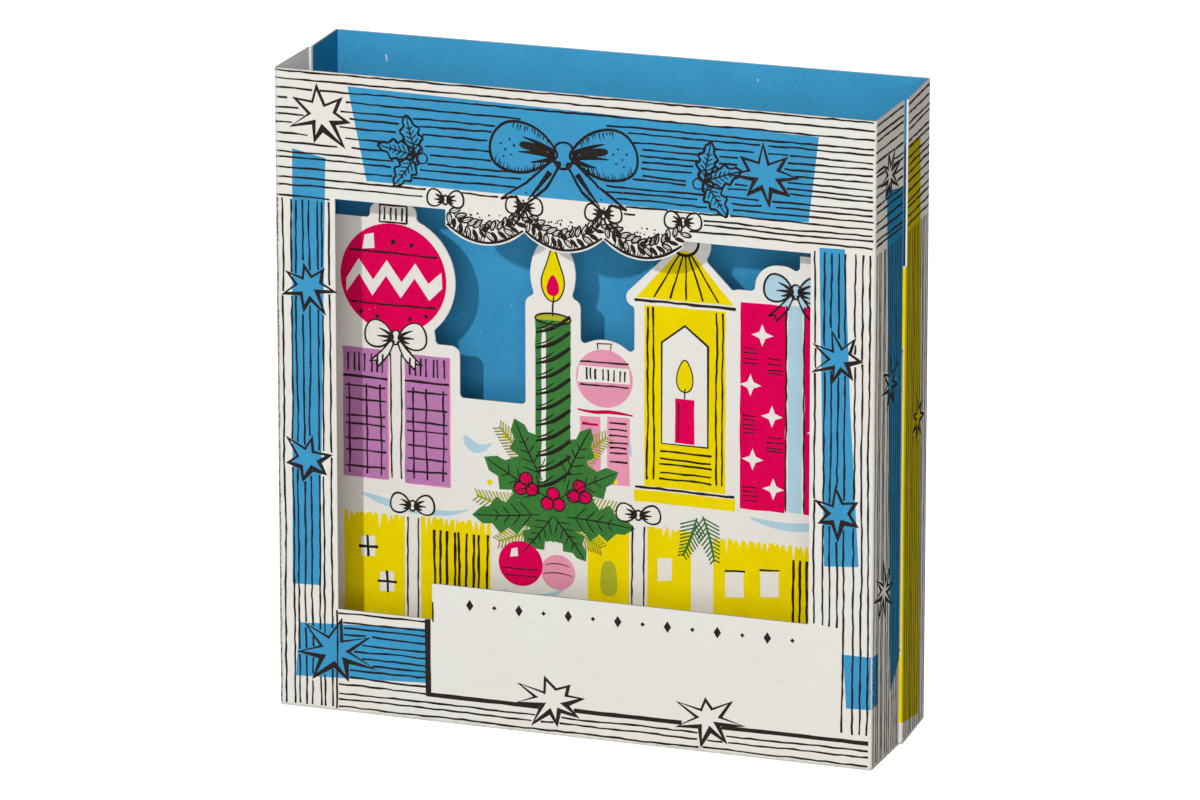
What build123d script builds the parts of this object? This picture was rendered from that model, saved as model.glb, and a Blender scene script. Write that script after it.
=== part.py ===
from build123d import *
import os

# A shadow-box greeting card: one die-cut sheet of card, folded zig-zag into a standing box.
#
# Seen from above the sheet starts at the free edge of the front right side. It runs forward,
# across the front panel, back along the front left side to the left mid fold, across the middle
# as the scene panel, and then on from the right mid fold as the rear right side, the back panel
# and the rear left side. It ends in a glue flap behind the scene panel. A lock tab on the free
# edge goes through a slit beside the right mid fold.
#
# Millimetres. X runs to the right, Y to the back and Z up. The corners are given on the middle
# surface of the sheet with the front panel's outer face on Y = 0, and the finished card is moved
# so that the origin lies under the centre of its outline, on the table.

# the sheet
THICKNESS = 0.4
FOLD_RADIUS = 0.45
HEIGHT = 152.0
FRONT_WIDTH = 144.0

# the folded plan
FRONT_DEPTH = 20.4
REAR_DEPTH_RIGHT = 20.7
REAR_DEPTH_LEFT = 17.6
LEFT_FOLD_LEAN = 0.3
RIGHT_FOLD_STANDOUT = 0.7
REAR_RIGHT_LEAN = 1.4
REAR_LEFT_LEAN = 0.5
STUB_WIDTH = 0.9
FREE_EDGE_GAP = 0.25
REAR_EDGE_GAP = 0.5

# the window in the front panel, with bars around it
LEFT_BAR = 14.6
RIGHT_BAR = 15.2
TOP_BAR_LEFT = 29.6
TOP_BAR_RIGHT = 31.8
BOTTOM_BAR = 24.6
LABEL_LEFT = 37.8
LABEL_HEIGHT = 33.2

# the garland that hangs into the window from the top bar
SWAG_WIDTH = 19.0
SWAG_DROP = 5.4
SWAG_COUNT = 3
SWAG_CENTRE = -2.0
SWAG_HEM = 1.5

# the lock tab and its slit
SLIT_LOW = 22.0
SLIT_HIGH = 94.0
SLIT_CLEARANCE = 0.1
TAB_REACH = 6.5
TAB_LEAN = 0.6
TAB_CHAMFER = 4.0
TAB_END_CLEARANCE = 1.0

# the glue flap
FLAP_WIDTH = 9.0
FLAP_TOP = 104.0
FLAP_CHAMFER = 6.0
GLUE_PRESS = 0.05

# the scene panel: its ends, its ground and the motifs that stand above the ground
SCENE_MARGIN = 2.2
SCENE_NICK = 1.0
SCENE_LEFT_TOP = 113.0
SCENE_RIGHT_TOP = 113.4
GROUND_TOP = 72.0
BAUBLE_CENTRE = (-51.0, 99.0)
BAUBLE_RADIUS = 13.0
BAUBLE_CAP = (7.0, 5.0)
SMALL_BAUBLE_CENTRE = (0.5, 80.0)
SMALL_BAUBLE_RADIUS = 7.0
CANDLE_CENTRE = -12.0
CANDLE_WIDTH = 9.0
CANDLE_TOP = 96.0
FLAME_HEIGHT = 15.0
FLAME_WIDTH = 6.4
LANTERN_LEFT = 10.0
LANTERN_RIGHT = 30.0
LANTERN_EAVES = 100.0
LANTERN_TOP = 112.0
LANTERN_OVERHANG = 2.0
LANTERN_RING = 4.0
LEFT_PARCEL = (-64.0, -37.0, 82.0)
RIGHT_PARCEL = (33.0, 60.0, 102.0)
BOW_WIDTH = 15.0
BOW_HEIGHT = 6.5

# the middle surface of the sheet, corner by corner
HALF = THICKNESS / 2
FRONT_RIGHT = (FRONT_WIDTH / 2 - HALF, HALF)
FRONT_LEFT = (-FRONT_WIDTH / 2 + HALF, HALF)
FREE_EDGE = (FRONT_RIGHT[0], FRONT_DEPTH - HALF - FREE_EDGE_GAP)
LEFT_FOLD = (FRONT_LEFT[0] + LEFT_FOLD_LEAN, FRONT_DEPTH)
RIGHT_FOLD = (FRONT_RIGHT[0] + RIGHT_FOLD_STANDOUT, FRONT_DEPTH)
FLAP_FOLD = (LEFT_FOLD[0] + THICKNESS, FRONT_DEPTH + THICKNESS - GLUE_PRESS)
BACK_RIGHT = (RIGHT_FOLD[0] - REAR_RIGHT_LEAN, RIGHT_FOLD[1] + REAR_DEPTH_RIGHT)
BACK_LEFT = (FLAP_FOLD[0] - REAR_LEFT_LEAN, FLAP_FOLD[1] + REAR_DEPTH_LEFT)
FLAP_EDGE = (FLAP_FOLD[0] + FLAP_WIDTH, FLAP_FOLD[1])

# faces of the panels, from the same corners
SCENE_FRONT_FACE = FRONT_DEPTH - HALF
SCENE_BACK_FACE = FRONT_DEPTH + HALF
FOLD_REACH = FOLD_RADIUS + HALF
STUB_END = LEFT_FOLD[0] - HALF + STUB_WIDTH
BEYOND = 5.0


def standing(corners):
    """A standing wall of card whose middle surface follows the corners."""
    path = FilletPolyline(*corners, radius=FOLD_RADIUS)
    return extrude(trace(path, THICKNESS), HEIGHT)


def upright(outline, near, far):
    """An outline drawn in X and Z, made solid from one depth to another."""
    plane = Plane((0, near, 0), x_dir=(1, 0, 0), z_dir=(0, -1, 0))
    return extrude(plane * outline, -(far - near))


def block(left, right, low, high):
    """A rectangle in X and Z, given by its four sides."""
    return Pos((left + right) / 2, (low + high) / 2) * Rectangle(right - left, high - low)


def folded_sheet():
    """The whole sheet, folded and glued, before anything is cut from it."""
    wall = [FREE_EDGE, FRONT_RIGHT, FRONT_LEFT, LEFT_FOLD, RIGHT_FOLD, BACK_RIGHT, BACK_LEFT]
    rear_end = (FLAP_FOLD[0], FLAP_FOLD[1] + FOLD_REACH)
    flap = [rear_end, FLAP_FOLD, FLAP_EDGE]
    return standing(wall + [rear_end]) + standing(flap)


def window_opening():
    """The front window: sharp corners, a step over the label and the garland's hem left on."""
    left = -FRONT_WIDTH / 2 + LEFT_BAR
    right = FRONT_WIDTH / 2 - RIGHT_BAR
    bottom = BOTTOM_BAR
    left_top = HEIGHT - TOP_BAR_LEFT
    right_top = HEIGHT - TOP_BAR_RIGHT
    swag_left = SWAG_CENTRE - SWAG_WIDTH * SWAG_COUNT / 2
    swag_right = SWAG_CENTRE + SWAG_WIDTH * SWAG_COUNT / 2
    opening = block(left, right, bottom, right_top)
    opening += block(left, swag_left, right_top, left_top)
    for index in range(SWAG_COUNT):
        start = swag_left + index * SWAG_WIDTH
        hem = Line((start, right_top + BEYOND), (start, right_top - SWAG_HEM))
        sag = SagittaArc((start, right_top - SWAG_HEM), (start + SWAG_WIDTH, right_top - SWAG_HEM),
                         SWAG_HEM - SWAG_DROP)
        rise = Line((start + SWAG_WIDTH, right_top - SWAG_HEM), (start + SWAG_WIDTH, right_top + BEYOND))
        close = Line((start + SWAG_WIDTH, right_top + BEYOND), (start, right_top + BEYOND))
        opening -= make_face(Curve() + [hem, sag, rise, close])
    label = block(-FRONT_WIDTH / 2 + LABEL_LEFT, right + BEYOND, bottom - BEYOND, LABEL_HEIGHT)
    label -= block(right, right + BEYOND * 2, bottom - BEYOND * 2, LABEL_HEIGHT + BEYOND)
    opening -= label
    return upright(opening, -BEYOND, THICKNESS + BEYOND)


def parcel(left, right, top):
    """A wrapped parcel with a bow of two round loops on its lid."""
    middle = (left + right) / 2
    shape = block(left, right, 0, top)
    for side in (-1, 1):
        loop = SlotOverall(BOW_WIDTH / 2, BOW_HEIGHT)
        shape += Pos(middle + side * BOW_WIDTH / 4, top + BOW_HEIGHT / 2) * loop
    return shape


def candle():
    """A straight candle with a pointed flame."""
    shape = block(CANDLE_CENTRE - CANDLE_WIDTH / 2, CANDLE_CENTRE + CANDLE_WIDTH / 2, 0, CANDLE_TOP)
    tip = (CANDLE_CENTRE, CANDLE_TOP + FLAME_HEIGHT)
    foot = (CANDLE_CENTRE, CANDLE_TOP)
    right_side = ThreePointArc(foot, (CANDLE_CENTRE + FLAME_WIDTH / 2, CANDLE_TOP + FLAME_HEIGHT * 0.4), tip)
    left_side = ThreePointArc(tip, (CANDLE_CENTRE - FLAME_WIDTH / 2, CANDLE_TOP + FLAME_HEIGHT * 0.4), foot)
    return shape + make_face(Curve() + [right_side, left_side])


def lantern():
    """A lantern with a sloping roof and a carrying ring."""
    middle = (LANTERN_LEFT + LANTERN_RIGHT) / 2
    shape = block(LANTERN_LEFT, LANTERN_RIGHT, 0, LANTERN_EAVES)
    roof = Polyline((LANTERN_LEFT - LANTERN_OVERHANG, LANTERN_EAVES), (middle, LANTERN_TOP),
                    (LANTERN_RIGHT + LANTERN_OVERHANG, LANTERN_EAVES), close=True)
    shape += make_face(roof)
    shape += Pos(middle, LANTERN_TOP + LANTERN_RING / 2) * Circle(LANTERN_RING)
    return shape


def scene_outline():
    """The scene panel's die-cut top: the motifs with a white margin, and plain ends."""
    left = STUB_END - BEYOND
    right = RIGHT_FOLD[0] + HALF + BEYOND
    motifs = parcel(*LEFT_PARCEL)
    motifs += parcel(*RIGHT_PARCEL)
    motifs += candle()
    motifs += lantern()
    motifs += Pos(*BAUBLE_CENTRE) * Circle(BAUBLE_RADIUS)
    motifs += Pos(BAUBLE_CENTRE[0], BAUBLE_CENTRE[1] + BAUBLE_RADIUS) * Rectangle(*BAUBLE_CAP)
    motifs += Pos(*SMALL_BAUBLE_CENTRE) * Circle(SMALL_BAUBLE_RADIUS)
    outline = offset(motifs, SCENE_MARGIN + SCENE_NICK)
    outline += block(left, right, -BEYOND, GROUND_TOP + SCENE_NICK)
    outline += block(left, BAUBLE_CENTRE[0], 0, SCENE_LEFT_TOP + SCENE_NICK)
    right_middle = (RIGHT_PARCEL[0] + RIGHT_PARCEL[1]) / 2
    outline += block(right_middle, right, 0, SCENE_RIGHT_TOP + SCENE_NICK)
    return offset(outline, -SCENE_NICK)


def scene_waste():
    """What the die removes from the scene panel: everything above its outline."""
    blank = block(STUB_END, RIGHT_FOLD[0] + HALF + BEYOND, 0, HEIGHT + BEYOND)
    near = SCENE_FRONT_FACE - FREE_EDGE_GAP / 2
    return upright(blank - scene_outline(), near, SCENE_BACK_FACE)


def fold_waste():
    """The bend beyond the cut-away parts, so that the rear sides end in plain cut edges there."""
    right_end = RIGHT_FOLD[0] + HALF + BEYOND
    right = block(RIGHT_FOLD[0] - THICKNESS * 2, right_end, SCENE_RIGHT_TOP, HEIGHT + BEYOND)
    left = block(LEFT_FOLD[0] - BEYOND, FLAP_EDGE[0] + BEYOND, FLAP_TOP, HEIGHT + BEYOND)
    cut = upright(right, SCENE_FRONT_FACE - FREE_EDGE_GAP / 2, SCENE_FRONT_FACE + FOLD_REACH)
    cut += upright(left, SCENE_BACK_FACE, SCENE_BACK_FACE + REAR_EDGE_GAP)
    return cut


def flap_waste():
    """The bevelled corners of the glue flap."""
    edge = FLAP_EDGE[0]
    cut = None
    for level, side in ((0, 1), (FLAP_TOP, -1)):
        corner = Polyline((edge, level), (edge - FLAP_CHAMFER / 2, level),
                          (edge, level + side * FLAP_CHAMFER), close=True)
        piece = upright(make_face(corner), SCENE_BACK_FACE, SCENE_BACK_FACE + THICKNESS)
        cut = piece if cut is None else cut + piece
    return cut


def lock_slit():
    """The slit beside the right mid fold that the lock tab goes through."""
    half_width = HALF + SLIT_CLEARANCE
    outline = block(FREE_EDGE[0] - half_width, FREE_EDGE[0] + half_width, SLIT_LOW, SLIT_HIGH)
    return upright(outline, SCENE_FRONT_FACE - FREE_EDGE_GAP / 2, SCENE_BACK_FACE + HALF)


def lock_tab():
    """The tongue on the free edge: behind its slit it bends inwards, as the rear side leans."""
    low = SLIT_LOW + TAB_END_CLEARANCE
    high = SLIT_HIGH - TAB_END_CLEARANCE
    start = FREE_EDGE[1] - THICKNESS
    bend = SCENE_BACK_FACE + HALF
    end = SCENE_BACK_FACE + TAB_REACH
    strip = standing([(FREE_EDGE[0], start), (FREE_EDGE[0], bend), (FREE_EDGE[0] - TAB_LEAN, end)])
    outline = Polyline((start, low), (bend, low), (end, low + TAB_CHAMFER), (end, high - TAB_CHAMFER),
                       (bend, high), (start, high), close=True)
    plane = Plane((FREE_EDGE[0] - BEYOND, 0, 0), x_dir=(0, 1, 0), z_dir=(1, 0, 0))
    return strip & extrude(plane * make_face(outline), BEYOND * 2)


def greeting_card():
    """The finished card, with the origin under the centre of its outline."""
    card = folded_sheet()
    card -= window_opening()
    card -= scene_waste()
    card -= fold_waste()
    card -= flap_waste()
    card -= lock_slit()
    card += lock_tab()
    outline = card.bounding_box()
    centre = outline.center()
    return Pos(-centre.X, -centre.Y, -outline.min.Z) * card


os.makedirs("parts", exist_ok=True)
card = greeting_card()
export_step(card, "parts/card.step")
print("card solids", len(card.solids()), "size", card.bounding_box().size)
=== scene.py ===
"""The looks of a standing shadow-box greeting card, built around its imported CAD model.

The card is the CAD node and gets a paper finish. Its print is laid on it as thin films of ink.
Each film is drawn flat on one side of one panel of the sheet, in millimetres, with X to the right
as that side is looked at and Y up, and is then wrapped onto the panel and the folds at its ends.
"""

import math
import random

import bmesh
import bpy
from mathutils import Matrix, Vector, noise


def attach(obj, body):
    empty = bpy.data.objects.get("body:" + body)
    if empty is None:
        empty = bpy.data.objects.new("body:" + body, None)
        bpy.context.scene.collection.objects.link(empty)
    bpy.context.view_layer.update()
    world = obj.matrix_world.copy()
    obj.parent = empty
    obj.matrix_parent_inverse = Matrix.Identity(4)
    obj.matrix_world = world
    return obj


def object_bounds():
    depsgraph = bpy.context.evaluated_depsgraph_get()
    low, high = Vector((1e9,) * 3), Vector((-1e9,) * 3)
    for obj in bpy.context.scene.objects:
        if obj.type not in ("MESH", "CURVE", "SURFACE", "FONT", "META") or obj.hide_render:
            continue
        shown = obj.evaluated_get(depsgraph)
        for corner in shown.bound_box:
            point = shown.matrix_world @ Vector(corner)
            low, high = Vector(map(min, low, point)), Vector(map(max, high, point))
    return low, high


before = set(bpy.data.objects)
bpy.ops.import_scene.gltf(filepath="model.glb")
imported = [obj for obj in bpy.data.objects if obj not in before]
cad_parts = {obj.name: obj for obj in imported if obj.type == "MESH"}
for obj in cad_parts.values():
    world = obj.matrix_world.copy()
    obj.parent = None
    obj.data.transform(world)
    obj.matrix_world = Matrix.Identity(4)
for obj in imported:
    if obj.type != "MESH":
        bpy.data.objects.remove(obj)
cad_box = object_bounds()
scene = bpy.context.scene

# camera, in millimetres from the middle of the front panel's foot
TARGET = (6.7, 0.0, 81.1)
CAMERA_PLACE = (701.4, -1931.7, 681.8)
LENS = 283.4

# light: degrees from the front and above the floor, metres and watts
KEY_TURN = 3.0
KEY_HEIGHT = 23.0
KEY_DISTANCE = 4.4
KEY_SIZE = 0.09
KEY_POWER = 88.0
FILL_TURN = 18.0
FILL_HEIGHT = 9.0
FILL_DISTANCE = 4.8
FILL_SIZE = 2.0
FILL_POWER = 72.0
BACK_TURN = 188.0
BACK_HEIGHT = 30.0
BACK_DISTANCE = 2.6
BACK_SIZE = 1.4
BACK_POWER = 46.0
AMBIENT = 0.28
AMBIENT_COLOUR = (1.0, 0.955, 0.88, 1.0)
FLOOR_SIZE = 8.0
FLOOR_COLOUR = (0.55, 0.55, 0.55, 1.0)
FLOOR_GLOW = 0.82

# the sheet, in millimetres: the middle surface seen from above, as the CAD model has it
MM = 0.001
HEIGHT = 152.0
HALF = 0.2
FOLD_RADIUS = 0.45
FRONT_EDGE = 72.0
CORNERS = {
    "free edge": (71.8, 19.95),
    "front right": (71.8, 0.2),
    "front left": (-71.8, 0.2),
    "left fold": (-71.5, 20.4),
    "right fold": (72.5, 20.4),
    "back right": (71.1, 41.1),
    "back left": (-71.6, 38.35),
    "flap fold": (-71.1, 20.75),
    "flap edge": (-62.1, 20.75),
}
BEND_CUTS = 4

# the films of ink, in millimetres but for the counts
LOWEST_RISE = 0.02
RISE_STEP = 0.01
FIELD_STEP = 0.0008
FIELD_LEVELS = 12
PEN_CROWN = 0.008
SINK = 0.01
PEN = 0.45
PEN_STEP = 1.9
SHORTEST_RUN = 2.7
SHORTEST_STRIPE = 1.7
SHORTEST_LINE = 0.8
SMOOTHNESS = 6

# inks and paper, as colours on screen
PAPER = (226, 222, 216)
COOL_PAPER = (228, 228, 223)
WARM_PAPER = (230, 226, 220)
FIBRE_GREY = (210, 206, 200)
FLECK_BROWN = (176, 160, 140)
UPWARD_FACE_GREY = (120, 116, 112)
FOOT_GREY = (150, 143, 134)
WORN_GREY = (190, 182, 172)
INKS = {
    "blue": (61, 152, 200),
    # painted shade: a darker copy of the blue, printed on the sides and inner side faces, which stand in
    # shade
    "shade_darkened_blue": (32, 130, 178),
    "pale_blue": (175, 208, 224),
    "pink": (230, 150, 178),
    "yellow": (236, 213, 0),
    # painted shade: a darker copy of the yellow, printed on the rear sides and the back, which stand in shade
    "shade_darkened_yellow": (192, 176, 0),
    "olive": (172, 176, 40),
    "green": (58, 120, 56),
    "crimson": (220, 0, 82),
    "purple": (184, 120, 176),
    "white": PAPER,
    "black": (46, 38, 36),
}


def screen(colour):
    """A colour on screen, from 0 to 255, as the linear colour that a node takes."""
    linear = []
    for part in colour:
        share = part / 255
        linear.append(share / 12.92 if share <= 0.04045 else ((share + 0.055) / 1.055) ** 2.4)
    return (*linear, 1.0)


def aimed(name, data, place, target):
    """Puts a camera or a lamp in the scene, pointing at the target."""
    thing = bpy.data.objects.new(name, data)
    thing.location = place
    way = Vector(target) - Vector(place)
    thing.rotation_euler = way.to_track_quat("-Z", "Y").to_euler()
    scene.collection.objects.link(thing)
    return thing


class Value:
    """A node's socket that takes arithmetic. Each operation adds a Math node."""

    def __init__(self, finish, socket):
        self.finish = finish
        self.socket = socket

    def maths(self, operation, first, second):
        return self.finish.node("ShaderNodeMath", {"operation": operation}, {0: first, 1: second})

    def __add__(self, other):
        return self.maths("ADD", self, other)

    def __sub__(self, other):
        return self.maths("SUBTRACT", self, other)

    def __rsub__(self, other):
        return self.maths("SUBTRACT", other, self)

    def __mul__(self, other):
        return self.maths("MULTIPLY", self, other)

    def __abs__(self):
        return self.maths("ABSOLUTE", self, 0.0)

    __radd__ = __add__
    __rmul__ = __mul__


class Finish:
    """A node tree, of a material or of the world, that is filled node by node."""

    def __init__(self, owner):
        owner.use_nodes = True
        self.owner = owner
        self.tree = owner.node_tree
        self.tree.nodes.clear()

    def node(self, kind, settings, sockets, output=0):
        """Adds a node: its settings first, then the values or links of its sockets."""
        node = self.tree.nodes.new(kind)
        for name, value in settings.items():
            setattr(node, name, value)
        for name, value in sockets.items():
            if isinstance(value, Value):
                self.tree.links.new(value.socket, node.inputs[name])
            else:
                node.inputs[name].default_value = value
        return Value(self, node.outputs[output] if node.outputs else None)

    def blend(self, share, first, second):
        """A colour between two colours."""
        return self.node("ShaderNodeMix", {"data_type": "RGBA"}, {0: share, 6: first, 7: second}, 2)

    def ramp(self, value, low, high):
        """0 where the value is at low, 1 where it is at high, and smooth between."""
        sockets = {"Value": value, "From Min": low, "From Max": high}
        return self.node("ShaderNodeMapRange", {"interpolation_type": "SMOOTHSTEP"}, sockets)

    def grain(self, place, scale, detail=2.0):
        """Noise with so many spots to the metre."""
        return self.node("ShaderNodeTexNoise", {}, {"Vector": place, "Scale": scale, "Detail": detail})


def card_surface(finish):
    """What paper and print share: where a point is, the tooth of the paper, and wear at the folds."""
    place = finish.node("ShaderNodeTexCoord", {}, {}, "Object")
    across = finish.node("ShaderNodeMapping", {}, {"Vector": place, "Scale": (1.0, 1.0, 0.75)})
    fibre = finish.grain(across, 2600.0, 3.0)
    tooth = finish.grain(place, 5200.0, 1.0)
    x = finish.node("ShaderNodeSeparateXYZ", {}, {0: place}, 0)
    y = finish.node("ShaderNodeSeparateXYZ", {}, {0: place}, 1)
    side = abs(x)
    fold_place = (FRONT_EDGE - 0.3) * MM
    near_side = finish.ramp(abs(side - fold_place), 0.75 * MM, 0.1 * MM)
    near_front = finish.ramp(y, (SHIFT_Y + 1.5) * MM, (SHIFT_Y + 0.2) * MM)
    worn = near_side * near_front * finish.ramp(fibre, 0.36, 0.6)
    return place, fibre, tooth, worn


def surfaced(finish, colour, roughness, fibre, tooth, depth):
    """Ends a finish: a rough sheet with the paper's fibres in relief."""
    height = fibre * 0.7 + tooth * 0.3
    bump = finish.node("ShaderNodeBump", {}, {"Height": height, "Distance": depth, "Strength": 1.0})
    sockets = {"Base Color": colour, "Roughness": roughness, "Normal": bump, "Specular IOR Level": 0.01}
    shader = finish.node("ShaderNodeBsdfPrincipled", {}, sockets)
    finish.node("ShaderNodeOutputMaterial", {}, {"Surface": shader})
    return finish.owner


def paper(name):
    """Uncoated white card: faint clouds, fibres, grey on the faces that point upwards, which are the top cut
    edges, and grey at the foot.
    """
    finish = Finish(bpy.data.materials.new(name))
    place, fibre, tooth, worn = card_surface(finish)
    clouds = finish.ramp(finish.grain(place, 38.0, 3.0), 0.35, 0.7)
    flecks = finish.ramp(finish.grain(place, 900.0, 2.0), 0.66, 0.74)
    colour = finish.blend(clouds, screen(COOL_PAPER), screen(WARM_PAPER))
    colour = finish.blend(fibre * 0.1, colour, screen(FIBRE_GREY))
    colour = finish.blend(flecks * 0.16, colour, screen(FLECK_BROWN))
    # darker on the faces that point upwards, the top cut edges
    facing = finish.node("ShaderNodeNewGeometry", {}, {}, "Normal")
    upward = finish.node("ShaderNodeSeparateXYZ", {}, {0: facing}, 2)
    colour = finish.blend(finish.ramp(upward, 0.6, 0.9) * 0.75, colour, screen(UPWARD_FACE_GREY))
    z = finish.node("ShaderNodeSeparateXYZ", {}, {0: place}, 2)
    foot = finish.ramp(z + finish.grain(place, 500.0) * (1.2 * MM), 1.6 * MM, 0.5 * MM)
    colour = finish.blend(foot * 0.45, colour, screen(FOOT_GREY))
    colour = finish.blend(worn * 0.25, colour, screen(WORN_GREY))
    return surfaced(finish, colour, 0.86, fibre, tooth, 0.03 * MM)


def ink(name, colour):
    """Flat printing ink: a little uneven, with the paper's tooth showing through, and worn at folds."""
    finish = Finish(bpy.data.materials.new(name))
    place, fibre, tooth, worn = card_surface(finish)
    full = screen(colour)
    thin = screen([part + (255 - part) * 0.1 for part in colour])
    dense = screen([part * 0.93 for part in colour])
    patches = finish.ramp(finish.grain(place, 110.0, 4.0), 0.3, 0.7)
    mixed = finish.blend(patches * 0.55, full, dense)
    mixed = finish.blend(finish.ramp(fibre, 0.48, 0.72) * 0.6, mixed, thin)
    missed = finish.ramp(finish.grain(place, 1300.0, 2.0), 0.75, 0.81)
    mixed = finish.blend(missed * 0.4, mixed, screen(PAPER))
    mixed = finish.blend(worn * 0.6, mixed, screen(PAPER))
    roughness = 0.7 + fibre * 0.16
    return surfaced(finish, mixed, roughness, fibre, tooth, 0.02 * MM)


class Panel:
    """One side of one panel of the sheet. Its corners go from left to right as that side is seen.

    The corner before and the corner after give the bends at its ends; start is the number
    that a drawing uses for the left corner.
    """

    def __init__(self, before, left, right, after, start):
        corners = [Vector(CORNERS[name]) if name else None for name in (before, left, right, after)]
        self.left = corners[1]
        self.right = corners[2]
        self.start = start
        self.length = (self.right - self.left).length
        self.way = (self.right - self.left).normalized()
        self.outward = Vector((self.way.y, -self.way.x))
        self.left_turn = self.turn(corners[0], corners[1], corners[1] + self.way)
        self.right_turn = self.turn(corners[2] - self.way, corners[2], corners[3])

    def turn(self, first, middle, last):
        """The angle by which the sheet turns at the middle corner, to the left if positive."""
        if first is None or last is None:
            return 0.0
        return -(middle - first).angle_signed(last - middle)

    def bend(self, tangent, turn, angle, offset):
        """A point on the bend, at an angle from where the flat ends."""
        side = math.copysign(1.0, turn)
        rotation = Matrix.Rotation(angle, 2)
        radius = self.outward * side * FOLD_RADIUS
        centre = tangent - radius
        return centre + rotation @ radius + (rotation @ self.outward) * offset

    def place(self, across, up, rise):
        """Where a point of a drawing is in the row frame, in metres."""
        along = min(max(across - self.start, 0.0), self.length)
        offset = HALF + rise
        left_reach = FOLD_RADIUS * math.tan(abs(self.left_turn) / 2)
        right_reach = FOLD_RADIUS * math.tan(abs(self.right_turn) / 2)
        if along < left_reach:
            angle = (1 - along / left_reach) * abs(self.left_turn) / 2
            tangent = self.left + self.way * left_reach
            spot = self.bend(tangent, self.left_turn, -math.copysign(angle, self.left_turn), offset)
        elif self.length - along < right_reach:
            angle = (1 - (self.length - along) / right_reach) * abs(self.right_turn) / 2
            tangent = self.right - self.way * right_reach
            spot = self.bend(tangent, self.right_turn, math.copysign(angle, self.right_turn), offset)
        else:
            spot = self.left + self.way * along + self.outward * offset
        return Vector((spot.x + SHIFT_X, spot.y + SHIFT_Y, up)) * MM

    def cuts(self):
        """Where a drawing is cut so that it can bend."""
        places = []
        ends = ((self.left_turn, self.start, 1), (self.right_turn, self.start + self.length, -1))
        for index in range(1, BEND_CUTS + 1):
            share = index / BEND_CUTS
            for turn, corner, side in ends:
                reach = FOLD_RADIUS * math.tan(abs(turn) / 2)
                if reach > 0.01:
                    places.append(corner + side * reach * share)
        return places


def drawn_mesh(splines, pen):
    """The mesh of a flat curve: round-ended strokes of the given widths, or a filled outline."""
    curve = bpy.data.curves.new("drawing", "CURVE")
    curve.dimensions = "3D" if pen else "2D"
    curve.twist_mode = "Z_UP"
    curve.fill_mode = "FULL" if pen else "BOTH"
    curve.resolution_u = SMOOTHNESS
    if pen:
        curve.bevel_depth = 1.0
        curve.bevel_resolution = 0
        curve.use_fill_caps = True
    else:
        curve.extrude = 1.0
    for points, widths, closed, smooth in splines:
        spline = curve.splines.new("NURBS" if smooth else "POLY")
        spline.points.add(len(points) - 1)
        for index, (x, y) in enumerate(points):
            spline.points[index].co = (x, y, 0.0, 1.0)
            spline.points[index].radius = widths[index] / 2 if pen else 1.0
        spline.use_cyclic_u = closed
        if smooth:
            spline.order_u = 3
            spline.use_endpoint_u = not closed
    holder = bpy.data.objects.new("drawing", curve)
    mesh = bpy.data.meshes.new_from_object(holder)
    bpy.data.objects.remove(holder)
    bpy.data.curves.remove(curve)
    return mesh


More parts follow.
